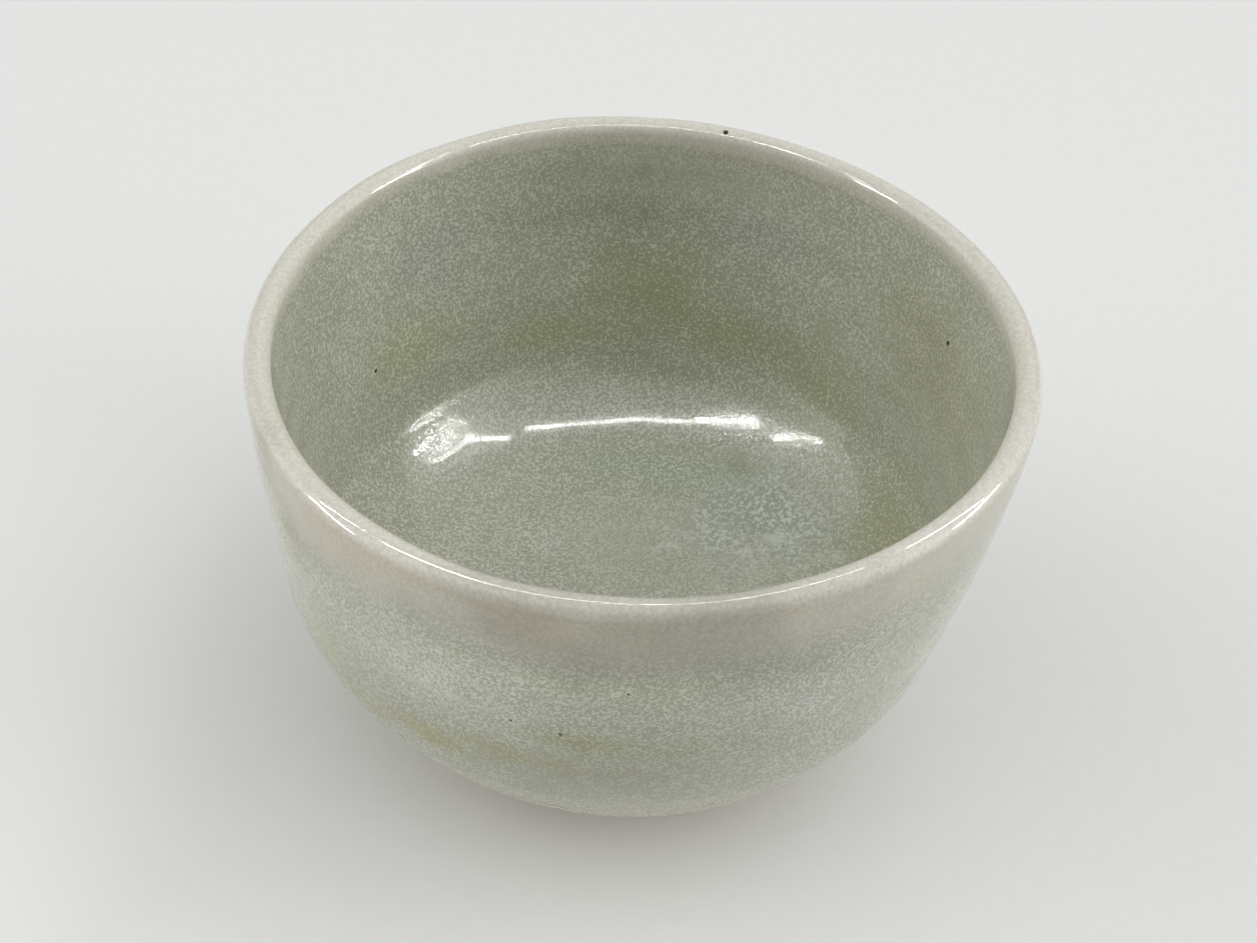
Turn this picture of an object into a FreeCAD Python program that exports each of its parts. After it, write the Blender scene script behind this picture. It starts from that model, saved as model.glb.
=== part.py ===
import FreeCAD, Part

import os

# Bowl for whisked powdered tea: a thrown stoneware body with a foot ring luted under it, a glaze poured
# over the inside, a glaze that the outside was dipped in, and a thin second dip over the lip.
# Millimetres, +Z up. The origin is the centre of the foot ring's resting face, and Z is the bowl's axis.

# Overall size
HEIGHT = 77.0
RIM_RADIUS = 60.0
LIP_THICKNESS = 4.0
LIP_RADIUS = LIP_THICKNESS / 2
LIP_CENTRE_RADIUS = RIM_RADIUS - LIP_RADIUS
LIP_CENTRE_HEIGHT = HEIGHT - LIP_RADIUS

# Foot ring
FOOT_HEIGHT = 7.0
FOOT_RADIUS = 29.0
FOOT_WIDTH = 5.0
FOOT_LAND = 2.4            # flat resting width between the two bevels
FOOT_BEVEL_HEIGHT = 1.5

# Underside of the body
UNDERSIDE_RADIUS = 33.0    # edge of the flat trimmed face that the foot ring is luted to
UNDERSIDE_STEP = 1.0       # low upright step from that face to the curve of the wall
BUTTON_RADIUS = 6.0        # shallow cone left in the middle by the trimming tool
BUTTON_HEIGHT = 0.9

# Glaze
GLAZE = 0.6
GLAZE_LINE = 10.0          # height of the lower edge of the outer glaze
BAND_OUTSIDE = 9.0         # how far the lip glaze reaches down the outside
BAND_INSIDE = 4.0          # and down the inside

# Inside floor
FLOOR_HEIGHT = 15.6
FLOOR_RADIUS = 23.0        # where the wall's curve has become the flat of the floor
POOL_RADIUS = 21.5         # shallow round recess where the last of the tea gathers
POOL_DEPTH = 0.7
POOL_STEP = 3.0            # radial width of the recess's soft edge

# Radius and height of stations along the glazed surface, from the lip down
OUTER_WALL = [
    (RIM_RADIUS, LIP_CENTRE_HEIGHT),
    (58.9, 59.0),
    (56.8, 43.0),
    (54.8, 31.0),
    (49.7, 21.0),
    (42.7, 13.0),
    (UNDERSIDE_RADIUS, FOOT_HEIGHT + UNDERSIDE_STEP),
]
INNER_WALL = [
    (RIM_RADIUS - LIP_THICKNESS, LIP_CENTRE_HEIGHT),
    (54.7, 59.0),
    (52.4, 43.0),
    (51.2, 31.0),
    (49.3, 28.0),
    (46.6, 25.0),
    (42.9, 22.0),
    (38.5, 19.5),
    (31.0, 16.9),
    (FLOOR_RADIUS, FLOOR_HEIGHT),
]
OVERSIZE = 10.0            # how far the cutting zones reach past the bowl

ORIGIN = FreeCAD.Vector(0, 0, 0)
UP = FreeCAD.Vector(0, 0, 1)
DOWN = FreeCAD.Vector(0, 0, -1)
INWARD = FreeCAD.Vector(-1, 0, 0)
INWARD_AND_DOWN = FreeCAD.Vector(-2, 0, -1)


def point(radius, height):
    """A point of the half section, which lies in the XZ plane."""
    return FreeCAD.Vector(radius, 0, height)


def smooth_curve(points, last_tangent):
    """A spline through points that starts straight down and ends along last_tangent."""
    curve = Part.BSplineCurve()
    curve.interpolate(Points=points, InitialTangent=DOWN, FinalTangent=last_tangent)
    return curve


def wall_curve(stations, last_tangent, shift):
    """The spline through a wall's stations, shifted sideways, towards the axis where shift is positive."""
    surface = smooth_curve([point(*station) for station in stations], last_tangent)
    if shift == 0:
        return surface
    steps = 2 * len(stations)
    shifted = []
    for i in range(steps + 1):
        u = surface.FirstParameter + (surface.LastParameter - surface.FirstParameter) * i / steps
        along = surface.tangent(u)[0]
        aside = FreeCAD.Vector(along.z, 0, -along.x)
        shifted.append(surface.value(u) + aside * shift)
    return smooth_curve(shifted, last_tangent)


def polyline(points):
    return [Part.makeLine(start, end) for start, end in zip(points, points[1:])]


def revolve(edges):
    """The solid swept about the axis by a closed outline of the half section."""
    outline = Part.Wire(Part.__sortEdges__(edges))
    solid = Part.Solid(Part.Face(outline).revolve(ORIGIN, UP, 360))
    if solid.Volume < 0:
        solid.reverse()
    return solid


def disc(radius, bottom, top):
    return Part.makeCylinder(radius, top - bottom, point(0, bottom), UP)


def vessel(removed):
    """The bowl above its foot ring, with this much removed from its glazed surface."""
    outer = wall_curve(OUTER_WALL, INWARD_AND_DOWN, removed)
    inner = wall_curve(INNER_WALL, INWARD, -removed)
    outer_top = outer.value(outer.FirstParameter)
    outer_end = outer.value(outer.LastParameter)
    inner_top = inner.value(inner.FirstParameter)
    inner_end = inner.value(inner.LastParameter)
    lip = Part.Arc(inner_top, point(LIP_CENTRE_RADIUS, HEIGHT - removed), outer_top)

    pool_height = inner_end.z - POOL_DEPTH
    floor_and_underside = polyline([
        inner_end,
        point(POOL_RADIUS, inner_end.z),
        point(POOL_RADIUS - POOL_STEP, pool_height),
        point(0, pool_height),
        point(0, FOOT_HEIGHT - BUTTON_HEIGHT),
        point(BUTTON_RADIUS, FOOT_HEIGHT),
        point(outer_end.x, FOOT_HEIGHT),
        outer_end,
    ])
    return revolve([outer.toShape(), lip.toShape(), inner.toShape()] + floor_and_underside)


def foot_ring():
    """A low turned ring with a flat resting face between two bevels."""
    inner_radius = FOOT_RADIUS - FOOT_WIDTH
    middle = FOOT_RADIUS - FOOT_WIDTH / 2
    corners = [
        point(FOOT_RADIUS, FOOT_HEIGHT),
        point(FOOT_RADIUS, FOOT_BEVEL_HEIGHT),
        point(middle + FOOT_LAND / 2, 0),
        point(middle - FOOT_LAND / 2, 0),
        point(inner_radius, FOOT_BEVEL_HEIGHT),
        point(inner_radius, FOOT_HEIGHT),
    ]
    return revolve(polyline(corners + corners[:1]))


def glaze_coats(clay_body):
    """The glaze over the clay, divided into the lip's coat and the coats inside and outside below it."""
    coat = vessel(0).cut(clay_body)
    above = HEIGHT + OVERSIZE
    beyond = RIM_RADIUS + OVERSIZE
    inside_band = disc(LIP_CENTRE_RADIUS, HEIGHT - BAND_INSIDE, above)
    outside_band = disc(beyond, HEIGHT - BAND_OUTSIDE, above).cut(disc(LIP_CENTRE_RADIUS, 0, above))
    lip_zone = inside_band.fuse(outside_band)
    bare_zone = disc(beyond, 0, GLAZE_LINE)

    rim_glaze = coat.common(lip_zone)
    below_lip = coat.cut(lip_zone).Solids
    inner_glaze, outer_coat = sorted(below_lip, key=lambda solid: solid.BoundBox.XLength)
    return {
        "inner_glaze": inner_glaze,
        "outer_glaze": outer_coat.cut(bare_zone),
        "rim_glaze": rim_glaze,
    }


clay = vessel(GLAZE)
parts = {"clay_body": clay, "foot_ring": foot_ring(), **glaze_coats(clay)}

os.makedirs("parts", exist_ok=True)
for name, shape in parts.items():
    assert shape.isValid() and len(shape.Solids) == 1, name
    shape.Solids[0].exportStep(f"parts/{name}.step")
    print(f"{name}: {shape.Volume / 1000:.2f} cm3")
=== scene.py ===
import math

import bpy
import numpy as np
from mathutils import Matrix, Vector


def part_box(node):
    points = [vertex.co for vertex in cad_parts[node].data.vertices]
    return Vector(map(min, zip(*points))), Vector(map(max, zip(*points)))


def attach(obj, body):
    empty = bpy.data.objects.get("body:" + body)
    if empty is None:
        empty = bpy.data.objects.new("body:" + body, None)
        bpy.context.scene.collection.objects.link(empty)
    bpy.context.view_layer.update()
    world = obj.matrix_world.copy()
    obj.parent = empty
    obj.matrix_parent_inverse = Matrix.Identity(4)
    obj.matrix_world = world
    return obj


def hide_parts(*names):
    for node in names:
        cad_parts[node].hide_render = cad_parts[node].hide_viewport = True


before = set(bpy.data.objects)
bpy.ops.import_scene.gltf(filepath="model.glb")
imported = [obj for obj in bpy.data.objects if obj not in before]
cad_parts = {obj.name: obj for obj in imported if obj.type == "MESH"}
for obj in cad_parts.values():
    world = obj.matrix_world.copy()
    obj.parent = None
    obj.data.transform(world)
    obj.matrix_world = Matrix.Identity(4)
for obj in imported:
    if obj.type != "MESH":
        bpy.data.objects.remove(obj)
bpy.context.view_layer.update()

# A thrown tea bowl: two pieces of clay and three coats of glaze. Shapes are worked out in millimetres, in the
# frame of the CAD model, and turned into metres where a mesh is made.
MM = 0.001


def cad_size(node):
    """Lowest and highest corner of a CAD node in millimetres."""
    low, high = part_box(node)
    return [value / MM for value in low], [value / MM for value in high]


GLAZE = 0.6                # thickness of each coat of glaze

# Sizes from the frame. The bands' feet are the lower edges of the lip glaze, and the glaze line is the
# lower edge of the outer glaze. The pool is the recess in the floor, measured on its glaze.
HEIGHT = cad_size("rim_glaze")[1][2]
RIM_RADIUS = cad_size("rim_glaze")[1][0]
BAND_FOOT_OUTSIDE = cad_size("rim_glaze")[0][2]
BAND_FOOT_INSIDE = cad_size("inner_glaze")[1][2]
GLAZE_LINE = cad_size("outer_glaze")[0][2]
FOOT_RADIUS = cad_size("foot_ring")[1][0]
FOOT_HEIGHT = cad_size("foot_ring")[1][2]
POOL_HEIGHT = cad_size("inner_glaze")[0][2] + GLAZE

# Sizes that the frame's boxes don't show
LIP_RADIUS = 2.0
LIP_CENTRE_RADIUS = RIM_RADIUS - LIP_RADIUS
LIP_CENTRE_HEIGHT = HEIGHT - LIP_RADIUS
FOOT_WIDTH = 5.0
UNDERSIDE_RADIUS = 33.0    # edge of the flat face that the foot ring is luted to
UNDERSIDE_STEP = 1.0       # low step from that face to the curve of the wall
FLOOR_RADIUS = 23.0        # where the wall's curve has become the flat of the floor
POOL_DEPTH = 0.7

# Radius and height of stations along the glazed surface, from the lip down. The last ones inside are the
# soft edge and the floor of the pool.
OUTER_WALL = [
    (RIM_RADIUS, LIP_CENTRE_HEIGHT),
    (58.9, 59.0),
    (56.8, 43.0),
    (54.8, 31.0),
    (49.7, 21.0),
    (42.7, 13.0),
    (UNDERSIDE_RADIUS, FOOT_HEIGHT + UNDERSIDE_STEP),
]
INNER_WALL = [
    (RIM_RADIUS - 2 * LIP_RADIUS, LIP_CENTRE_HEIGHT),
    (54.7, 59.0),
    (52.4, 43.0),
    (51.2, 31.0),
    (49.3, 28.0),
    (46.6, 25.0),
    (42.9, 22.0),
    (38.5, 19.5),
    (31.0, 16.9),
    (FLOOR_RADIUS, POOL_HEIGHT + POOL_DEPTH),
    (21.7, POOL_HEIGHT + 0.6),
    (18.4, POOL_HEIGHT + 0.05),
    (16.5, POOL_HEIGHT),
    (8.0, POOL_HEIGHT),
    (0.0, POOL_HEIGHT),
]

# The rim isn't quite round or level. Outside, its tilt, lean, oval and three lobes fade away down the wall.
# Inside, the tilt and the lean go all the way down, as the inside was thrown in one go with the rim and the
# outside was trimmed to a level foot.
RIM_FADE_DEPTH = 55.0
RIM_TILT = 2.25            # how much higher the rim is at +X than on the axis
RIM_LEAN = 0.2             # its shift towards +X
RIM_OVAL = (-0.0073, -0.0030)          # shares of the radius: cosine and sine of twice the angle
RIM_THREE_LOBES = (0.0071, -0.0028)    # and of three times the angle

SEGMENTS = 400
THETA = np.linspace(0, 2 * math.pi, SEGMENTS, endpoint=False)


# ---------------------------------------------------------------- lathe work

def spline(stations, last_tangent, spacing=0.05):
    """Points every spacing along a smooth curve through the stations that starts straight down."""
    knots = np.array(stations)
    t = np.r_[0, np.cumsum(np.hypot(*np.diff(knots, axis=0).T))]
    slopes = np.empty_like(knots)
    slopes[1:-1] = (knots[2:] - knots[:-2]) / (t[2:] - t[:-2])[:, None]
    slopes[0] = (0, -1)
    slopes[-1] = np.array(last_tangent) / math.hypot(*last_tangent)
    where = np.arange(0, t[-1], spacing)
    piece = np.clip(np.searchsorted(t, where, side="right") - 1, 0, len(t) - 2)
    width = (t[1:] - t[:-1])[piece]
    u = ((where - t[piece]) / width)[:, None]
    width = width[:, None]
    start, end = knots[piece], knots[piece + 1]
    return (
        start * (1 + 2 * u) * (1 - u) ** 2 + slopes[piece] * width * u * (1 - u) ** 2
        + end * u ** 2 * (3 - 2 * u) + slopes[piece + 1] * width * u ** 2 * (u - 1)
    )


class Surface:
    """One side of the bowl's section: points and outward normals by the distance run from the lip's crest."""

    def __init__(self, stations, last_tangent, side):
        angle = np.radians(np.arange(90, 0, -2.0))
        crest = np.stack([LIP_CENTRE_RADIUS + side * LIP_RADIUS * np.cos(angle),
                          LIP_CENTRE_HEIGHT + LIP_RADIUS * np.sin(angle)], axis=1)
        self.points = np.concatenate([crest, spline(stations, last_tangent)])
        along = np.gradient(self.points, axis=0)
        along /= np.hypot(*along.T)[:, None]
        self.normals = np.stack([-along[:, 1], along[:, 0]], axis=1) * side
        self.run = np.r_[0, np.cumsum(np.hypot(*np.diff(self.points, axis=0).T))]
        self.length = self.run[-1]
        self.side = side

    def at(self, s):
        """Points and normals at runs s, an array of any shape."""
        sample = [np.interp(s, self.run, column) for column in (*self.points.T, *self.normals.T)]
        return np.stack(sample[:2], axis=-1), np.stack(sample[2:], axis=-1)

    def run_at_height(self, height):
        """The run from the crest down to this height on the wall."""
        wall = self.points[:, 1]
        return float(self.run[np.argmax(wall < height)])


OUTSIDE = Surface(OUTER_WALL, (-2, -1), side=1)
INSIDE = Surface(INNER_WALL, (-1, 0), side=-1)


MEAN_RADIUS = 50           # of the wall, for the number of waves that fit round it


def waves(seed, count, shortest, longest):
    """A smooth field of the angle and the run, made of random waves with these lengths on the wall."""
    random = np.random.default_rng(seed)
    length = np.exp(random.uniform(math.log(shortest), math.log(longest), count))
    heading = random.uniform(0, math.pi, count)
    around = np.round(2 * math.pi * MEAN_RADIUS / length * np.cos(heading))
    along = 2 * math.pi / length * np.sin(heading)
    phase = random.uniform(0, 2 * math.pi, count)

    def field(theta, s):
        total = sum(np.sin(a * theta + b * s + p) for a, b, p in zip(around, along, phase))
        return total * math.sqrt(2 / count)
    return field


def fade(values, start, end):
    """0 before start, 1 after end, smooth between."""
    u = np.clip((values - start) / (end - start), 0, 1)
    return u * u * (3 - 2 * u)


SLOW_OUTSIDE = waves(3, 14, 22, 70)
QUICK_OUTSIDE = waves(5, 26, 5, 14)
SLOW_INSIDE = waves(7, 14, 24, 70)
QUICK_INSIDE = waves(11, 26, 6, 16)
RIDGE_STRENGTH = waves(13, 8, 40, 120)
LIP_WAVES = waves(17, 10, 18, 60)

# The spiral ridges of the throwing, and how far they and the waves stand out
RIDGE_PITCH_OUTSIDE = 5.6
RIDGE_PITCH_INSIDE = 8.5
RIDGE_WANDER = 0.7         # radians that the spiral strays by
RIDGE_WANDER_RUN = 21      # run down the wall for each radian of that straying
RIDGE_RELIEF = 0.045
SLOW_RELIEF = 0.10
QUICK_RELIEF = 0.022
LIP_RELIEF = 0.05
PLAIN_LIP = (2, 12)        # runs between which the ridges and waves fade in below the lip

# Inside, thick glaze has nearly filled the relief where the wall bends in to the floor
BEND_TOP = 38
BEND_FOOT = 29
BEND_FILLED = 0.95

# A faint ring that the throwing left round the pool
FLOOR_RING_RADIUS = 27.5
FLOOR_RING_WIDTH = 1.3
FLOOR_RING_RELIEF = 0.10

# Soft swells of the inside wall just above the floor:
# angle, height on the wall, half widths along and down, and rise
SWELLS = [
    (math.radians(141.4), 25.6, 10.6, 6.5, 0.74),
    (math.radians(58.0), 23.1, 13.7, 8.0, 0.40),
]
SWELL_RADIUS = 45          # of the wall where they are


def relief(theta, s, surface):
    """How far the wall stands proud of its plain section, from throwing and from the glaze."""
    if surface.side > 0:
        pitch, slow, quick = RIDGE_PITCH_OUTSIDE, SLOW_OUTSIDE, QUICK_OUTSIDE
    else:
        pitch, slow, quick = RIDGE_PITCH_INSIDE, SLOW_INSIDE, QUICK_INSIDE
    wander = RIDGE_WANDER * np.sin(theta + s / RIDGE_WANDER_RUN)
    ridges = np.sin(2 * math.pi * s / pitch + theta + wander)
    ridges = ridges * (RIDGE_RELIEF + RIDGE_RELIEF * RIDGE_STRENGTH(theta, s))
    total = ridges + SLOW_RELIEF * slow(theta, s) + QUICK_RELIEF * quick(theta, s)
    if surface.side < 0:
        filled = fade(s, surface.run_at_height(BEND_TOP), surface.run_at_height(BEND_FOOT))
        total = total * (1 - BEND_FILLED * filled)
        from_axis = surface.length - s
        floor_ring = np.exp(-((from_axis - FLOOR_RING_RADIUS) / FLOOR_RING_WIDTH) ** 2)
        total = total + FLOOR_RING_RELIEF * floor_ring
        for angle, height, along, down, rise in SWELLS:
            turn = np.angle(np.exp(1j * (theta - angle))) * SWELL_RADIUS / along
            drop = (s - surface.run_at_height(height)) / down
            total = total + rise * np.exp(-turn ** 2 - drop ** 2)
    return fade(s, *PLAIN_LIP) * total + LIP_RELIEF * LIP_WAVES(theta, s)


def settle(radius, height, theta, inside=False):
    """Points in space for radii and heights, with the rim's lean, tilt and lack of roundness."""
    rim = np.clip(1 - (HEIGHT - height) / RIM_FADE_DEPTH, 0, 1)
    oval = RIM_OVAL[0] * np.cos(2 * theta) + RIM_OVAL[1] * np.sin(2 * theta)
    lobes = RIM_THREE_LOBES[0] * np.cos(3 * theta) + RIM_THREE_LOBES[1] * np.sin(3 * theta)
    radius = radius * (1 + rim * (oval + lobes))
    x = radius * np.cos(theta)
    y = radius * np.sin(theta)
    if inside:
        slope = RIM_TILT / LIP_CENTRE_RADIUS
        return np.stack([x + RIM_LEAN + slope * (HEIGHT - height), y, height + slope * x], axis=-1)
    return np.stack([x + RIM_LEAN * rim, y, height + RIM_TILT * rim * np.cos(theta)], axis=-1)


def rows(surface, runs, inset=0.0):
    """Rings of points at these runs, inset into the wall. Runs and inset may vary round the bowl."""
    if runs.ndim == 1:
        runs = runs[:, None]
    s = np.broadcast_to(runs, (len(runs), SEGMENTS))
    points, normals = surface.at(s)
    out = relief(THETA, s, surface) - inset
    moved = points + normals * out[..., None]
    return settle(moved[..., 0], moved[..., 1], THETA, surface is INSIDE)


def rings(outline):
    """Rings of points for a plain outline of radii and heights."""
    outline = np.array(outline, float)
    shape = (len(outline), SEGMENTS)
    radius = np.broadcast_to(outline[:, :1], shape)
    height = np.broadcast_to(outline[:, 1:], shape)
    return settle(radius, height, THETA)


def lathe(name, bands, closed, material, stands_for):
    """A solid from bands of rings, which meet in crisp edges and are smooth within.

    Where closed is true the last band joins the first, and otherwise both ends close on the axis."""
    grid = np.concatenate(bands)
    ring_count = len(grid)
    vertices = list(grid.reshape(-1, 3))
    faces = []
    for ring in range(ring_count if closed else ring_count - 1):
        here, there = ring * SEGMENTS, (ring + 1) % ring_count * SEGMENTS
        for j in range(SEGMENTS):
            k = (j + 1) % SEGMENTS
            faces.append((here + j, there + j, there + k, here + k))
    if not closed:
        first, last = len(vertices), len(vertices) + 1
        vertices += [grid[0].mean(axis=0), grid[-1].mean(axis=0)]
        end = (ring_count - 1) * SEGMENTS
        for j in range(SEGMENTS):
            k = (j + 1) % SEGMENTS
            faces.append((first, j, k))
            faces.append((last, end + k, end + j))
    mesh = bpy.data.meshes.new(name)
    mesh.from_pydata([tuple(vertex * MM) for vertex in vertices], [], faces)
    mesh.polygons.foreach_set("use_smooth", [True] * len(mesh.polygons))

    crisp_rings = np.cumsum([len(band) for band in bands]) - 1
    if closed:
        crisp_rings = np.append(crisp_rings, 0)
    ends = np.empty(2 * len(mesh.edges), int)
    mesh.edges.foreach_get("vertices", ends)
    ring_of = ends.reshape(-1, 2) // SEGMENTS
    crisp = (ring_of[:, 0] == ring_of[:, 1]) & np.isin(ring_of[:, 0], crisp_rings)
    mesh.attributes.new("sharp_edge", "BOOLEAN", "EDGE").data.foreach_set("value", crisp)

    mesh.materials.append(material)
    piece = bpy.data.objects.new(name, mesh)
    bpy.context.collection.objects.link(piece)
    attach(piece, "root")
    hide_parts(stands_for)
    return piece


def steps(start, end, spacing):
    """Evenly spaced values from start to end, about spacing apart."""
    return np.linspace(start, end, max(2, round(abs(end - start) / spacing) + 1))


# ---------------------------------------------------------------- the pieces

FINE = 0.55                # spacing of rings where the glaze shows
COARSE = 2.5               # and where it meets the clay
LIP_FINE = 0.3             # the same two spacings for the lip glaze
LIP_COARSE = 0.8
BARE_FINE = 0.3            # spacing of rings on bare clay
UNDERSIDE_FINE = 0.35
FOOT_FINE = 0.22

BAND_RUN_OUTSIDE = OUTSIDE.run_at_height(BAND_FOOT_OUTSIDE)
BAND_RUN_INSIDE = INSIDE.run_at_height(BAND_FOOT_INSIDE)
LINE_RUN = OUTSIDE.run_at_height(GLAZE_LINE)
POLE_GAP = 0.4             # radius of the smallest ring round the axis

# The outer glaze's lower edge wavers round the bowl, and swells into a bead a little above it
EDGE_WAVER = 0.55
LINE_WAVES = waves(19, 9, 25, 110)
GLAZE_EDGE = LINE_RUN + EDGE_WAVER * LINE_WAVES(THETA, 0.0)
BEAD_ABOVE_EDGE = 1.5
BEAD_WIDTH = 0.9
BEAD_THICKNESS = 0.22


def lip_glaze_piece(material):
    """The lip glaze, up the inside and down the outside over the crest, and back along the clay."""
    up = rows(INSIDE, steps(BAND_RUN_INSIDE, 0, LIP_FINE))
    over = rows(OUTSIDE, steps(0, BAND_RUN_OUTSIDE, LIP_FINE)[1:])
    back_up = rows(OUTSIDE, steps(BAND_RUN_OUTSIDE, 0, LIP_COARSE), GLAZE)
    back_over = rows(INSIDE, steps(0, BAND_RUN_INSIDE, LIP_COARSE)[1:], GLAZE)
    bands = [np.concatenate([up, over]), back_up[:1], np.concatenate([back_up[1:], back_over])]
    return lathe("lip_glaze_band", bands, True, material, "rim_glaze")


def outer_glaze_piece(material):
    """The outer glaze thickens to a soft bead at its lower edge and rolls over onto the clay."""
    share = steps(0, 1, FINE / (LINE_RUN - BAND_RUN_OUTSIDE))[:, None]
    runs = BAND_RUN_OUTSIDE + (GLAZE_EDGE - GLAZE - BAND_RUN_OUTSIDE) * share
    bead = BEAD_THICKNESS * np.exp(-((GLAZE_EDGE - BEAD_ABOVE_EDGE - runs) / BEAD_WIDTH) ** 2)
    roll = np.radians(np.arange(15, 91, 15.0))[:, None]
    roll_runs = GLAZE_EDGE - GLAZE + GLAZE * np.sin(roll)
    roll_inset = GLAZE * (1 - np.cos(roll)) - bead[-1] * np.cos(roll)
    back_share = steps(1, 0, COARSE / (LINE_RUN - BAND_RUN_OUTSIDE))[:, None]
    back_runs = BAND_RUN_OUTSIDE + (GLAZE_EDGE - BAND_RUN_OUTSIDE) * back_share
    front = np.concatenate([rows(OUTSIDE, runs, -bead), rows(OUTSIDE, roll_runs, roll_inset)])
    back = rows(OUTSIDE, back_runs[1:], GLAZE)
    return lathe("dipped_outer_glaze", [front, back], True, material, "outer_glaze")


def inner_glaze_piece(material):
    """The glaze inside, from the axis up to the lip glaze, and back along the clay."""
    end = INSIDE.length - POLE_GAP
    front = rows(INSIDE, steps(end, BAND_RUN_INSIDE, FINE))
    back = rows(INSIDE, steps(BAND_RUN_INSIDE, end, COARSE), GLAZE)
    return lathe("poured_inner_glaze", [front, back], False, material, "inner_glaze")


# Underneath, the trimming tool left a spiral groove and a low button in the middle
BUTTON_RADIUS = 6.0
BUTTON_HEIGHT = 0.9
BUTTON_CURVE = 1.3         # above 1, its sides are hollow
TRIM_PITCH = 2.3
TRIM_DEPTH = 0.07
UNDERSIDE_INSET = 0.3      # from the wall's lower end to the first ring underneath

# The fine lines that the tool left on the bare clay above the foot
TOOL_PITCH = 1.7
TOOL_DEPTH = 0.05


def trimmed_underside():
    """Rings from the wall's lower end to the axis, with a spiral groove and a low button in the middle."""
    end_radius = OUTSIDE.points[-1, 0] - UNDERSIDE_INSET
    radius = steps(end_radius, POLE_GAP, UNDERSIDE_FINE)
    button = BUTTON_HEIGHT * np.clip(1 - radius / BUTTON_RADIUS, 0, 1) ** BUTTON_CURVE
    grid = rings(np.stack([radius, FOOT_HEIGHT - button], axis=1))
    spiral = np.sin(2 * math.pi * radius[:, None] / TRIM_PITCH + THETA)
    grid[..., 2] -= TRIM_DEPTH * np.abs(spiral) ** 3 * fade(radius, 1, 4)[:, None]
    return grid


def clay_piece(material):
    """The clay under the glaze, with fine rings from just above the glaze line down."""
    end = INSIDE.length - POLE_GAP
    inside = rows(INSIDE, steps(end, 0, COARSE), GLAZE)
    covered_end, bare_start = LINE_RUN - 3, LINE_RUN - 2.6
    covered = rows(OUTSIDE, steps(0, covered_end, COARSE)[1:], GLAZE)
    bare_runs = steps(bare_start, OUTSIDE.length, BARE_FINE)
    tool_lines = TOOL_DEPTH * np.sin(2 * math.pi * bare_runs[:, None] / TOOL_PITCH + THETA) ** 4
    bare = rows(OUTSIDE, bare_runs, GLAZE + tool_lines)
    bands = [np.concatenate([inside, covered, bare]), trimmed_underside()]
    return lathe("thrown_clay_body", bands, False, material, "clay_body")


FOOT_BEVEL_HEIGHT = 1.5
FOOT_LAND = 2.4            # width of the flat that it rests on
FOOT_BEVEL = [(0.9, 0.45), (0.35, 0.1)]    # distance from that flat, and height
FOOT_WAIST = 0.45          # how far its outside draws in at half height
FOOT_LINE_PITCH = 0.95
FOOT_LINE_DEPTH = 0.05


def foot_piece(material):
    """The foot ring, waisted and bevelled, with the tool's fine lines round its sides."""
    middle = FOOT_RADIUS - FOOT_WIDTH / 2
    inner = FOOT_RADIUS - FOOT_WIDTH
    up = steps(FOOT_BEVEL_HEIGHT, FOOT_HEIGHT, FOOT_FINE)
    share = (up - FOOT_BEVEL_HEIGHT) / (FOOT_HEIGHT - FOOT_BEVEL_HEIGHT)
    waist = FOOT_WAIST * np.sin(math.pi * share)
    outside = np.stack([FOOT_RADIUS - waist, up], axis=1)[::-1]
    inside = np.stack([inner + 0.5 * waist, up], axis=1)
    bevel_out = [(middle + FOOT_LAND / 2 + away, height) for away, height in FOOT_BEVEL]
    land = [(middle + x, 0.0) for x in steps(FOOT_LAND / 2, -FOOT_LAND / 2, BARE_FINE)]
    bevel_in = [(middle - FOOT_LAND / 2 - away, height) for away, height in FOOT_BEVEL[::-1]]
    bottom = rings(bevel_out + land + bevel_in)
    wander = 0.06 * np.sin(2 * THETA + 0.6) + 0.04 * np.sin(5 * THETA)
    sides = []
    for outline, sign, share_up in ((outside, -1, share[::-1]), (inside, 1, share)):
        grid = rings(outline)
        lines = FOOT_LINE_DEPTH * np.sin(2 * math.pi * outline[:, 1:] / FOOT_LINE_PITCH + THETA) ** 4
        depth = sign * (lines + wander * (1 - share_up)[:, None])
        grid[..., 0] += depth * np.cos(THETA)
        grid[..., 1] += depth * np.sin(THETA)
        sides.append(grid)
    top = rings([(middle, FOOT_HEIGHT)])
    bands = [np.concatenate([sides[0], bottom, sides[1]]), top]
    return lathe("luted_foot_ring", bands, True, material, "foot_ring")


# ---------------------------------------------------------------- materials

def tone(red, green, blue):
    """A colour given as 0 to 255 display values, as the linear colour that nodes take."""
    def linear(value):
        value /= 255
        return value / 12.92 if value <= 0.04045 else ((value + 0.055) / 1.055) ** 2.4
    return linear(red), linear(green), linear(blue), 1.0


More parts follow.
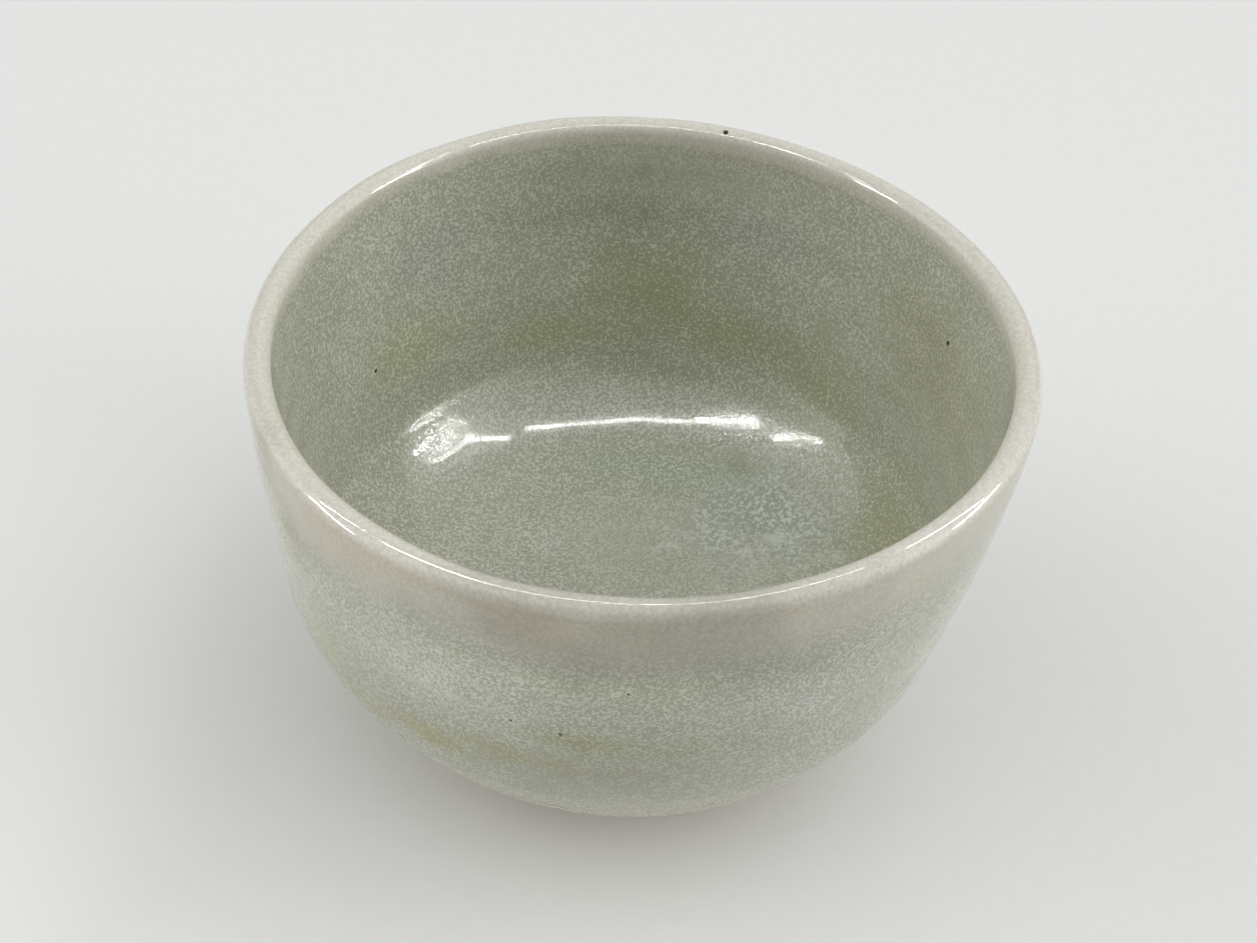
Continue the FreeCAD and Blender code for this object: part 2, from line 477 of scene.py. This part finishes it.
class Shader:
    """A short way to write a node tree. Each method adds a node and returns its output."""

    def __init__(self, name):
        self.material = bpy.data.materials.new(name)
        self.material.use_nodes = True
        self.tree = self.material.node_tree
        self.tree.nodes.clear()
        coordinates = self.add("ShaderNodeTexCoord").outputs["Object"]
        self.place = self.vector("SCALE", coordinates, Scale=1 / MM)
        x, y, z = self.add("ShaderNodeSeparateXYZ", {0: self.place}).outputs
        self.x, self.y, self.z = x, y, z

    def add(self, kind, inputs=None, **settings):
        node = self.tree.nodes.new(kind)
        for key, value in settings.items():
            setattr(node, key, value)
        for key, value in (inputs or {}).items():
            if isinstance(value, bpy.types.NodeSocket):
                self.tree.links.new(value, node.inputs[key])
            else:
                node.inputs[key].default_value = value
        return node

    def math(self, operation, *values, clamp=False):
        node = self.add("ShaderNodeMath", dict(enumerate(values)), operation=operation, use_clamp=clamp)
        return node.outputs[0]

    def vector(self, operation, *values, **named):
        node = self.add("ShaderNodeVectorMath", {**dict(enumerate(values)), **named}, operation=operation)
        return node.outputs["Value" if operation in ("LENGTH", "DISTANCE", "DOT_PRODUCT") else "Vector"]

    def shifted(self, offset):
        return self.vector("ADD", self.place, offset)

    def noise(self, size, detail=2.0, roughness=0.5, distortion=0.0, offset=(0, 0, 0)):
        """Noise from 0 to 1 whose features are about size millimetres across."""
        inputs = {"Vector": self.shifted(offset), "Scale": 0.5 / size, "Detail": detail,
                  "Roughness": roughness, "Distortion": distortion}
        return self.add("ShaderNodeTexNoise", inputs).outputs[0]

    def cells(self, size, feature="F1", offset=(0, 0, 0), output="Distance"):
        inputs = {"Vector": self.shifted(offset), "Scale": 1 / size}
        return self.add("ShaderNodeTexVoronoi", inputs, feature=feature).outputs[output]

    def between(self, value, start, end, low=0.0, high=1.0, smooth=True):
        """low where value is at start, high where it is at end."""
        kind = "SMOOTHSTEP" if smooth else "LINEAR"
        inputs = {0: value, 1: start, 2: end, 3: low, 4: high}
        return self.add("ShaderNodeMapRange", inputs, interpolation_type=kind, clamp=True).outputs[0]

    def mix(self, factor, first, second, blend="MIX"):
        inputs = {0: factor, 6: first, 7: second}
        return self.add("ShaderNodeMix", inputs, data_type="RGBA", blend_type=blend).outputs[2]

    def patch(self, centre, size, ragged=0.25, grain=6.0):
        """A soft-edged patch: 1 at centre and 0 past about size, its half width along X, Y and Z."""
        away = self.vector("LENGTH", self.vector("DIVIDE", self.vector("SUBTRACT", self.place, centre), size))
        torn = self.math("MULTIPLY_ADD", self.noise(grain, offset=centre), ragged * 4, away)
        return self.between(torn, 1 + ragged * 2, ragged * 2)

    def any_of(self, *masks):
        """The strongest of several masks."""
        result = masks[0]
        for mask in masks[1:]:
            result = self.math("MAXIMUM", result, mask)
        return result

    def finish(self, colour, roughness, height, bump, **surface):
        """Ends the tree in a Principled shader. One unit of height is bump millimetres of relief."""
        relief_node = self.add("ShaderNodeBump", {"Height": height, "Distance": bump * MM, "Strength": 1.0})
        inputs = {"Base Color": colour, "Roughness": roughness, "Normal": relief_node.outputs[0]}
        shader = self.add("ShaderNodeBsdfPrincipled", inputs)
        for key, value in surface.items():
            shader.inputs[key.replace("_", " ")].default_value = value
        self.add("ShaderNodeOutputMaterial", {"Surface": shader.outputs[0]})
        return self.material


# The pale grains and the glassy ground of the glaze, inside and outside, and the smoother lip glaze
INSIDE_GROUND, INSIDE_GRAIN = tone(180, 180, 163), tone(219, 220, 206)
OUTSIDE_GROUND, OUTSIDE_GRAIN = tone(167, 167, 149), tone(200, 201, 187)
COARSE_GROUND, COARSE_GRAIN = tone(178, 186, 171), tone(224, 231, 220)
LIP_OUTSIDE, LIP_CREST = tone(201, 196, 182), tone(227, 223, 212)
WHITE_RUN = tone(226, 230, 219)
ROSE = (1.0, 0.925, 0.885, 1)
CRACK = (0.70, 0.68, 0.60, 1)
SPECK = tone(38, 34, 30)

# Where the glaze ran thick or thin, with some painted light and shade among them, marked below: centre, half
# width, tint, and how much more of it the grains cover
INSIDE_GLAZE_AND_PAINTED_LIGHT_ZONES = [
    ((3, 54, 45), (20, 12, 13), (0.90, 0.94, 0.76), -0.25),
    ((-14, 48, 35), (24, 12, 6), (0.95, 0.99, 0.80), -0.20),
    ((17, 50, 38), (18, 12, 10), (0.96, 0.98, 0.83), -0.20),
    ((34, 40, 36), (16, 18, 13), (1.03, 1.04, 0.94), -0.15),
    ((50, 14, 55), (24, 34, 22), (0.84, 0.84, 0.77), -0.05),
    ((-54, 5, 55), (18, 30, 24), (0.88, 0.88, 0.86), 0.0),
    ((-8, 54, 62), (34, 14, 13), (0.83, 0.84, 0.80), 0.0),
    ((8, 46, 28.8), (50, 20, 3.2), (0.84, 0.87, 0.80), -0.15),
    ((6, 32, 18), (24, 10, 5), (0.93, 1.0, 0.97), 0.0),
    ((-40, 32, 42), (17, 18, 8), (0.98, 0.99, 0.86), -0.05),
    ((46, 12, 28), (11, 22, 13), (0.93, 0.94, 0.80), -0.20),
    ((-38, 41, 57), (22, 20, 15), (0.90, 0.89, 0.94), 0.10),
    ((20, 51, 60), (20, 17, 9), (0.96, 0.95, 1.02), 0.10),
    ((46, 30, 61), (18, 22, 14), (0.90, 0.90, 0.86), 0.0),
    # A lighter, bluish band just above the floor: partly the glaze's chalky colour, partly painted light
    # where the wall turns up towards the light
    ((-10, 41, 23), (44, 18, 4), (1.02, 1.02, 1.07), 0.15),
    ((-10, 4, 14), (44, 36, 11), (1.0, 1.0, 1.03), 0.10),
    ((21, 33, 20), (5, 5, 4), (0.90, 0.93, 0.82), -0.35),
    ((34.5, 42, 47), (5, 5, 6), (1.03, 1.04, 1.0), -0.60),
]
OUTSIDE_GLAZE_AND_PAINTED_LIGHT_ZONES = [
    # Painted light on the front-left and the left side, the first also a bluish tint of the glaze
    ((-26, -51, 55), (28, 24, 15), (1.18, 1.19, 1.23), 0.15),
    ((-50, -26, 52), (18, 30, 26), (1.24, 1.22, 1.22), 0.10),
    ((-35, -43, 34), (9, 9, 4.5), (0.97, 0.93, 0.73), -0.10),
    ((-25, -50, 37), (12, 9, 4.5), (0.94, 0.91, 0.70), -0.15),
    ((-12, -54, 40), (14, 9, 4), (0.91, 0.89, 0.68), -0.15),
    # Painted shade on the front, on the camera's side
    ((2, -55, 37), (26, 14, 10), (0.88, 0.87, 0.85), -0.05),
    ((-41, -37, 40), (7, 10, 10), (1.0, 0.98, 0.82), 0.0),
    ((-3, -57, 47.5), (10, 9, 4), (0.88, 0.89, 0.68), -0.15),
    # Painted shade on the front, on the camera's side
    ((12, -56, 46), (28, 16, 12), (0.85, 0.84, 0.80), 0.0),
    ((0, -59, 61.5), (44, 24, 6), (1.09, 1.08, 1.05), 0.0),
    ((28, -50, 53), (15, 15, 9), (1.06, 1.06, 1.13), 0.10),
    # Painted light on the right side
    ((50, -25, 48), (20, 30, 26), (1.18, 1.17, 1.18), 0.10),
    ((0, -46, 20), (44, 30, 12), (1.15, 1.03, 0.93), 0.0),
]
# Where the grains stand out less: centre and half width
CALM_INSIDE = [((46, 12, 50), (30, 46, 36)), ((4, 13, 15), (24, 16, 8)), ((4, 54, 68), (50, 20, 9))]
CALM_OUTSIDE = [((2, -56, 36), (40, 20, 11))]
# Darker places on the lip and below: centre, half width, tint. The first, across the front below the lip on
# the camera's side, is painted shade; the two by the left edge only darken the glaze there.
PAINTED_SHADE_AND_DARK_PLACES = [
    ((8, -58, 71), (44, 28, 17), (0.68, 0.685, 0.66)),
    ((-51, -31, 70), (7, 10, 8), (0.74, 0.70, 0.64)),
    ((-46.5, -37.5, 62), (5, 8, 9), (0.80, 0.74, 0.64)),
]
# Where the floor's grains are coarser
COARSE_ZONE = ((27, 22, 18), (21, 19, 12))

# Where the glaze inside is pebbled like orange peel
PEBBLED = [((-36, 30, 26), (12, 11, 7)), ((20, 41, 24), (10, 7, 5)), ((31, 35, 26), (8, 7, 4))]
FAINTLY_PEBBLED = ((0, 40, 22), (44, 26, 10))

# A white run of glaze beside the pool: centre, half width, raggedness and the size of its tears
WHITE_RUNS = [
    ((22.7, 14.1, 16.2), (2.6, 1.7, 1.6), 0.3, 1.2),
    ((28, 17, 18), (7, 2.2, 2.6), 0.5, 1.5),
]

# Iron specks: place and radius
SPECKS_INSIDE = [((51.1, 21.8, 62.0), 0.45), ((-45.5, 23.8, 42.3), 0.38)]
SPECKS_OUTSIDE = [((-5.5, -57.5, 48.7), 0.32), ((-12.5, -56.4, 49.4), 0.26), ((3.1, -59.3, 60.6), 0.22)]
SPECKS_LIP = [((11.4, 56.1, 77.2), 0.50)]

# Heights between which the lip glaze covers the other glaze, and its pale crest covers the lip glaze
LIP_FADE_OUTSIDE = (BAND_FOOT_OUTSIDE - 3.5, BAND_FOOT_OUTSIDE + 8)
LIP_FADE_INSIDE = (BAND_FOOT_INSIDE + 1.0, BAND_FOOT_INSIDE + 5.5)
CREST_FADE_OUTSIDE = (HEIGHT - 2.2, HEIGHT - 0.4)
CREST_FADE_INSIDE = (HEIGHT - 6.5, HEIGHT - 3.0)

GRAIN_SIZE = 0.24
COARSE_GRAIN_SIZE = 0.36
PEBBLE_SIZE = 0.38
PEBBLE_RELIEF = 3.0        # beside the grains' relief of 1
CRACKLE_STRENGTH = 0.16
GLAZE_RELIEF = 0.006
GLAZE_IOR = 1.5


def grains(g, cover, size, offset=(0, 0, 0)):
    """Pale rice-like grains that cover about this share of the glaze."""
    field = g.noise(size, detail=1.8, roughness=0.5, distortion=0.5, offset=offset)
    edge = g.math("MULTIPLY_ADD", cover, -0.20, 0.60)
    return g.between(field, g.math("SUBTRACT", edge, 0.05), g.math("ADD", edge, 0.09))


def specks(g, places):
    """Dots of iron at these places, and a scatter of finer ones."""
    cell = 9.0
    spot = g.cells(cell)
    chance = g.add("ShaderNodeSeparateColor", {0: g.cells(cell, output="Color")}).outputs[0]
    radius = g.between(chance, 0.55, 1.0, 0.0, 0.024, smooth=False)
    masks = [g.between(spot, radius, g.math("MULTIPLY", radius, 0.5))]
    for centre, radius in places:
        away = g.vector("DISTANCE", g.place, centre)
        masks.append(g.between(away, radius * 1.15, radius * 0.7))
    return g.any_of(*masks)


def crackle(g):
    """A net of hairlines, about a tenth of a millimetre wide."""
    size = 6.5
    bend = g.add("ShaderNodeTexNoise", {"Vector": g.place, "Scale": 0.12, "Detail": 2.0}).outputs["Color"]
    bent = g.vector("ADD", g.place, g.vector("SCALE", bend, Scale=5.0))
    inputs = {"Vector": bent, "Scale": 1 / size}
    edge = g.add("ShaderNodeTexVoronoi", inputs, feature="DISTANCE_TO_EDGE").outputs["Distance"]
    return g.between(edge, 0.016, 0.002)


PATCH_REACH = 1.3          # how far a zone's torn edge goes, in half widths


def reaching(zones, level):
    """The zones that reach above this level.

    The lip's material leaves out the others: with all of them in its node tree it rendered black."""
    return [zone for zone in zones if zone[0][2] + PATCH_REACH * zone[1][2] > level]


def body_glaze(g, ground, grain_colour, zones, calm_zones, offset, coarse_zone=None):
    """Colour of the grey-green glaze, with the zones' tints, some of them painted light and shade, and the
    mask of its grains.
    """
    cover = g.between(g.noise(8, detail=3.0, offset=offset), 0.3, 0.7, 0.38, 0.52)
    masks = [g.patch(centre, size) for centre, size, tint, more in zones]
    for mask, (centre, size, tint, more) in zip(masks, zones):
        cover = g.math("MULTIPLY_ADD", mask, more, cover)
    grain = grains(g, cover, GRAIN_SIZE, offset)
    calm = g.any_of(*[g.patch(centre, size) for centre, size in calm_zones]) if calm_zones else 0.0
    strength = g.between(g.noise(1.6, detail=2.0, offset=(2, 8, 5)), 0.3, 0.7, 0.8, 1.0)
    middling = g.mix(0.4, ground, grain_colour)
    colour = g.mix(g.math("MULTIPLY", grain, strength), ground, grain_colour)
    colour = g.mix(g.math("MULTIPLY", calm, 0.4), colour, middling)
    if coarse_zone:
        coarse = g.patch(*coarse_zone, ragged=0.35, grain=4.0)
        big_grain = grains(g, g.math("ADD", cover, 0.05), COARSE_GRAIN_SIZE, (4, 1, 6))
        grain = g.add("ShaderNodeMix", {0: coarse, 2: grain, 3: big_grain}).outputs[0]
        colour = g.mix(coarse, colour, g.mix(big_grain, COARSE_GROUND, COARSE_GRAIN))
    # The zones' tints, some of them painted light and shade
    for mask, (centre, size, tint, more) in zip(masks, zones):
        colour = g.mix(mask, colour, (*tint, 1), "MULTIPLY")
    return colour, grain


def glaze_material(name, side):
    """The grey-green glaze and the thinner lip glaze that it fades into, as one field over the whole bowl.

    side is outside, inside, or lip, where the two meet over the crest."""
    g = Shader(name)
    level = g.math("MULTIPLY_ADD", g.x, -RIM_TILT / RIM_RADIUS, g.z)
    drift = g.math("MULTIPLY_ADD", g.noise(6, detail=3.0), 5.0, level)
    lowest = min(BAND_FOOT_INSIDE, BAND_FOOT_OUTSIDE) - RIM_TILT if side == "lip" else 0
    parts = {}
    if side in ("outside", "lip"):
        band = g.between(drift, *LIP_FADE_OUTSIDE)
        zones, calm_zones = [reaching(group, lowest) for group in (OUTSIDE_GLAZE_AND_PAINTED_LIGHT_ZONES, CALM_OUTSIDE)]
        glaze = body_glaze(g, OUTSIDE_GROUND, OUTSIDE_GRAIN, zones, calm_zones, (0, 0, 0))
        parts["outside"] = (*glaze, band)
    if side in ("inside", "lip"):
        band = g.between(drift, *LIP_FADE_INSIDE)
        zones, calm_zones = [reaching(group, lowest) for group in (INSIDE_GLAZE_AND_PAINTED_LIGHT_ZONES, CALM_INSIDE)]
        coarse_zone = COARSE_ZONE if side == "inside" else None
        glaze = body_glaze(g, INSIDE_GROUND, INSIDE_GRAIN, zones, calm_zones, (3, 7, 1), coarse_zone)
        parts["inside"] = (*glaze, band)
    if side == "lip":
        radius = g.vector("LENGTH", g.vector("MULTIPLY", g.place, (1, 1, 0)))
        across = g.between(radius, LIP_CENTRE_RADIUS + 1, LIP_CENTRE_RADIUS - 1.5)
        (out_colour, out_grain, out_band), (in_colour, in_grain, in_band) = parts["outside"], parts["inside"]
        body = g.mix(across, out_colour, in_colour)
        grain = g.add("ShaderNodeMix", {0: across, 2: out_grain, 3: in_grain}).outputs[0]
        band = g.add("ShaderNodeMix", {0: across, 2: out_band, 3: in_band}).outputs[0]
    else:
        body, grain, band = parts[side]

    crest = g.between(level, *CREST_FADE_OUTSIDE)
    if side == "lip":
        inner_crest = g.between(level, *CREST_FADE_INSIDE)
        crest = g.add("ShaderNodeMix", {0: across, 2: crest, 3: inner_crest}).outputs[0]
    lip = g.mix(crest, LIP_OUTSIDE, LIP_CREST) if side != "inside" else LIP_OUTSIDE
    lip_cloud = g.between(g.noise(0.28, detail=2.0, offset=(1, 2, 3)), 0.35, 0.65, 0.93, 1.07)
    grey = g.add("ShaderNodeCombineColor", {0: lip_cloud, 1: lip_cloud, 2: lip_cloud}).outputs[0]
    lip = g.mix(1.0, lip, grey, "MULTIPLY")
    blush = g.between(g.noise(11, detail=2.0, offset=(5, 5, 5)), 0.42, 0.66, 0.0, 0.7)
    blush = g.math("MULTIPLY", blush, g.math("MULTIPLY_ADD", crest, -0.7, 1.0))
    lip = g.mix(blush, lip, ROSE, "MULTIPLY")
    colour = g.mix(band, body, lip)
    if side != "inside":
        # Painted shade across the front below the lip, and darker places by the left edge
        for centre, size, tint in PAINTED_SHADE_AND_DARK_PLACES:
            colour = g.mix(g.patch(centre, size), colour, (*tint, 1), "MULTIPLY")
    colour = g.mix(g.math("MULTIPLY", crackle(g), CRACKLE_STRENGTH), colour, CRACK, "MULTIPLY")
    if side == "inside":
        run = g.any_of(*[g.patch(*white_run) for white_run in WHITE_RUNS])
        colour = g.mix(g.math("MULTIPLY", run, 0.7), colour, WHITE_RUN)
    places = {"outside": SPECKS_OUTSIDE, "inside": SPECKS_INSIDE, "lip": SPECKS_LIP}[side]
    colour = g.mix(specks(g, places), colour, SPECK)

    smooth = g.math("MULTIPLY_ADD", band, -0.85, 1.0)
    fine = g.noise(0.16, detail=2.0, offset=(9, 4, 2))
    height = g.math("MULTIPLY", g.math("MULTIPLY_ADD", fine, 0.4, grain), smooth)
    if side == "inside":
        faint = g.math("MULTIPLY", g.patch(*FAINTLY_PEBBLED), 0.5)
        pebbled = g.any_of(faint, *[g.patch(centre, size) for centre, size in PEBBLED])
        pebbles = g.math("MULTIPLY", g.noise(PEBBLE_SIZE, detail=2.0, offset=(6, 2, 8)), pebbled)
        height = g.math("MULTIPLY_ADD", pebbles, PEBBLE_RELIEF, height)
    roughness = g.math("MULTIPLY_ADD", band, -0.01, g.between(fine, 0.3, 0.7, 0.025, 0.04))
    return g.finish(colour, roughness, height, GLAZE_RELIEF, IOR=GLAZE_IOR)


def clay_material():
    """Bare stoneware: toasted near the glaze, with pale grog, a few iron spots and pinholes."""
    c = Shader("bare_clay")
    grain = c.noise(0.35, detail=4.0, roughness=0.65)
    colour = c.mix(grain, tone(170, 148, 124), tone(204, 187, 164))
    cloud = c.between(c.noise(14, detail=3.0, offset=(8, 3, 1)), 0.35, 0.65)
    colour = c.mix(c.math("MULTIPLY", cloud, 0.35), colour, tone(183, 150, 118))
    radius = c.vector("LENGTH", c.vector("MULTIPLY", c.place, (1, 1, 0)))
    toasted = c.between(radius, FOOT_RADIUS + 4, UNDERSIDE_RADIUS + 7)
    colour = c.mix(c.math("MULTIPLY", toasted, 0.55), colour, tone(172, 128, 92))
    grog = c.between(c.cells(1.6), 0.16, 0.10)
    colour = c.mix(c.math("MULTIPLY", grog, 0.6), colour, tone(216, 204, 184))
    iron = c.between(c.cells(4.3, offset=(5, 2, 9)), 0.075, 0.045)
    colour = c.mix(iron, colour, tone(86, 62, 46))
    pinhole = c.between(c.cells(3.1, offset=(1, 7, 4)), 0.06, 0.03)
    height = c.math("MULTIPLY_ADD", grog, 0.5, c.math("SUBTRACT", grain, pinhole))
    return c.finish(colour, c.between(grain, 0.3, 0.7, 0.72, 0.92), height, 0.09)


outer_glaze_piece(glaze_material("outer_glaze_finish", "outside"))
inner_glaze_piece(glaze_material("inner_glaze_finish", "inside"))
lip_glaze_piece(glaze_material("lip_glaze_finish", "lip"))
bare_clay = clay_material()
clay_piece(bare_clay)
foot_piece(bare_clay)


# ---------------------------------------------------------------- floor, light and camera

def floor():
    """A plain paper floor, lightened to the left of the bowl and in front of it where it gets less light:
    painted light.
    """
    size = 3.0
    mesh = bpy.data.meshes.new("floor")
    corners = [(-size, -size, 0), (size, -size, 0), (size, size, 0), (-size, size, 0)]
    mesh.from_pydata(corners, [], [(0, 1, 2, 3)])
    plate = bpy.data.objects.new("floor", mesh)
    bpy.context.collection.objects.link(plate)
    paper = Shader("pale_paper")
    fibre = paper.noise(1.5, detail=3.0)
    colour = paper.mix(fibre, tone(242, 242, 241), tone(246, 246, 245))
    # Painted light: the paper is lightened to the left of the bowl and in front of it, where the floor gets
    # less light
    left = paper.math("MULTIPLY", paper.between(paper.x, -60, -95), paper.between(paper.y, 70, 10))
    painted_light = paper.any_of(left, paper.between(paper.y, -50, -95))
    colour = paper.mix(painted_light, colour, tone(254, 254, 253))
    mesh.materials.append(paper.finish(colour, 0.9, fibre, 0.05))


LAMP_AIM = Vector((0, 0, 60))


def strip(name, start, end, depth, radiance):
    """A straight lamp from start to end, aimed at the bowl. It shows only as a gleam on the glaze."""
    start, end = Vector(start), Vector(end)
    lamp = bpy.data.lights.new(name, "AREA")
    lamp.shape = "RECTANGLE"
    lamp.size, lamp.size_y = (end - start).length * MM, depth * MM
    lamp.energy = math.pi * lamp.size * lamp.size_y * radiance
    holder = bpy.data.objects.new(name, lamp)
    holder.location = (start + end) / 2 * MM
    along = (end - start).normalized()
    aim = (LAMP_AIM - (start + end) / 2).normalized()
    across = along.cross(aim).normalized()
    holder.rotation_euler = Matrix((along, across, -aim)).transposed().to_euler()
    holder.visible_diffuse = False
    bpy.context.collection.objects.link(holder)


# Lamps: name, start and end, depth, and radiance. The strips overhead make the long gleam across the inside
# of the bowl, in lengths that differ in width and strength. The two far out at the sides are broad.
LAMPS = [
    ("strip_middle", (-48, -11, 200), (72, 6, 200), 5, 40),
    ("strip_middle_wide", (-104, -22, 200), (-50, -15, 200), 13, 36),
    ("strip_right", (86, 19, 200), (198, 24, 200), 5, 46),
    ("strip_right_wide", (204, 21, 200), (220, 21, 200), 3, 75),
    ("strip_right_tip", (214, 28, 200), (234, 31, 200), 4, 60),
    ("strip_left", (-212, -19, 200), (-110, -4, 200), 4, 60),
    ("end_right", (400, -40, 200), (400, 75, 200), 60, 28),
    ("end_left", (-450, -175, 200), (-450, -45, 200), 60, 34),
]

# Soft glows of the room: direction, strength and tightness. The sides are bright, and the side that the
# camera stands on is dark.
ROOM_TINT = (0.985, 1.0, 0.99, 1)
GLOWS = [
    ((1, 0, 0.25), 2.3, 8),
    ((-1, 0, 0.25), 2.3, 8),
    ((0.56, -0.32, 0.77), 0.74, 8),
    ((-0.56, -0.32, 0.77), 0.74, 8),
    ((0.56, 0.32, 0.77), 0.66, 8),
    ((0, 0, 1), 0.6, 4),
    ((0, 0.85, 0.5), 0.5, 6),
]


def surroundings():
    """A world made of the soft glows."""
    world = bpy.data.worlds.new("studio")
    world.use_nodes = True
    tree = world.node_tree
    tree.nodes.clear()
    direction = tree.nodes.new("ShaderNodeTexCoord").outputs["Generated"]

    def put(kind, operation, *values):
        node = tree.nodes.new(kind)
        node.operation = operation
        for socket, value in zip(node.inputs, values):
            if isinstance(value, bpy.types.NodeSocket):
                tree.links.new(value, socket)
            else:
                socket.default_value = value
        return node.outputs["Value"]

    total = 0.0
    for towards, strength, tightness in GLOWS:
        facing = put("ShaderNodeVectorMath", "DOT_PRODUCT", direction, Vector(towards).normalized())
        glow = put("ShaderNodeMath", "POWER", put("ShaderNodeMath", "MAXIMUM", facing, 0.0), tightness)
        total = put("ShaderNodeMath", "MULTIPLY_ADD", glow, strength, total)
    background = tree.nodes.new("ShaderNodeBackground")
    background.inputs["Color"].default_value = ROOM_TINT
    tree.links.new(total, background.inputs["Strength"])
    output = tree.nodes.new("ShaderNodeOutputWorld")
    tree.links.new(background.outputs[0], output.inputs[0])
    bpy.context.scene.world = world


CAMERA_AIM = Vector((0.25, 0, 46.1))
CAMERA_DISTANCE = 277.2
CAMERA_ELEVATION = math.radians(42.3)
CAMERA_ROLL = math.radians(5.6)
LENS = 48.7
SENSOR = 36


def camera():
    """The camera, above and in front of the bowl as in the photograph."""
    away = Vector((0, -math.cos(CAMERA_ELEVATION), math.sin(CAMERA_ELEVATION)))
    data = bpy.data.cameras.new("camera")
    data.sensor_width = SENSOR
    data.lens = LENS
    data.clip_start = 0.01
    data.dof.use_dof = False
    holder = bpy.data.objects.new("camera", data)
    turn = (-away).to_track_quat("-Z", "Y").to_matrix().to_4x4()
    place = Matrix.Translation((CAMERA_AIM + away * CAMERA_DISTANCE) * MM)
    holder.matrix_world = place @ turn @ Matrix.Rotation(CAMERA_ROLL, 4, "Z")
    bpy.context.collection.objects.link(holder)
    bpy.context.scene.camera = holder


floor()
surroundings()
for lamp in LAMPS:
    strip(*lamp)
camera()
bpy.context.scene.view_settings.view_transform = "Standard"
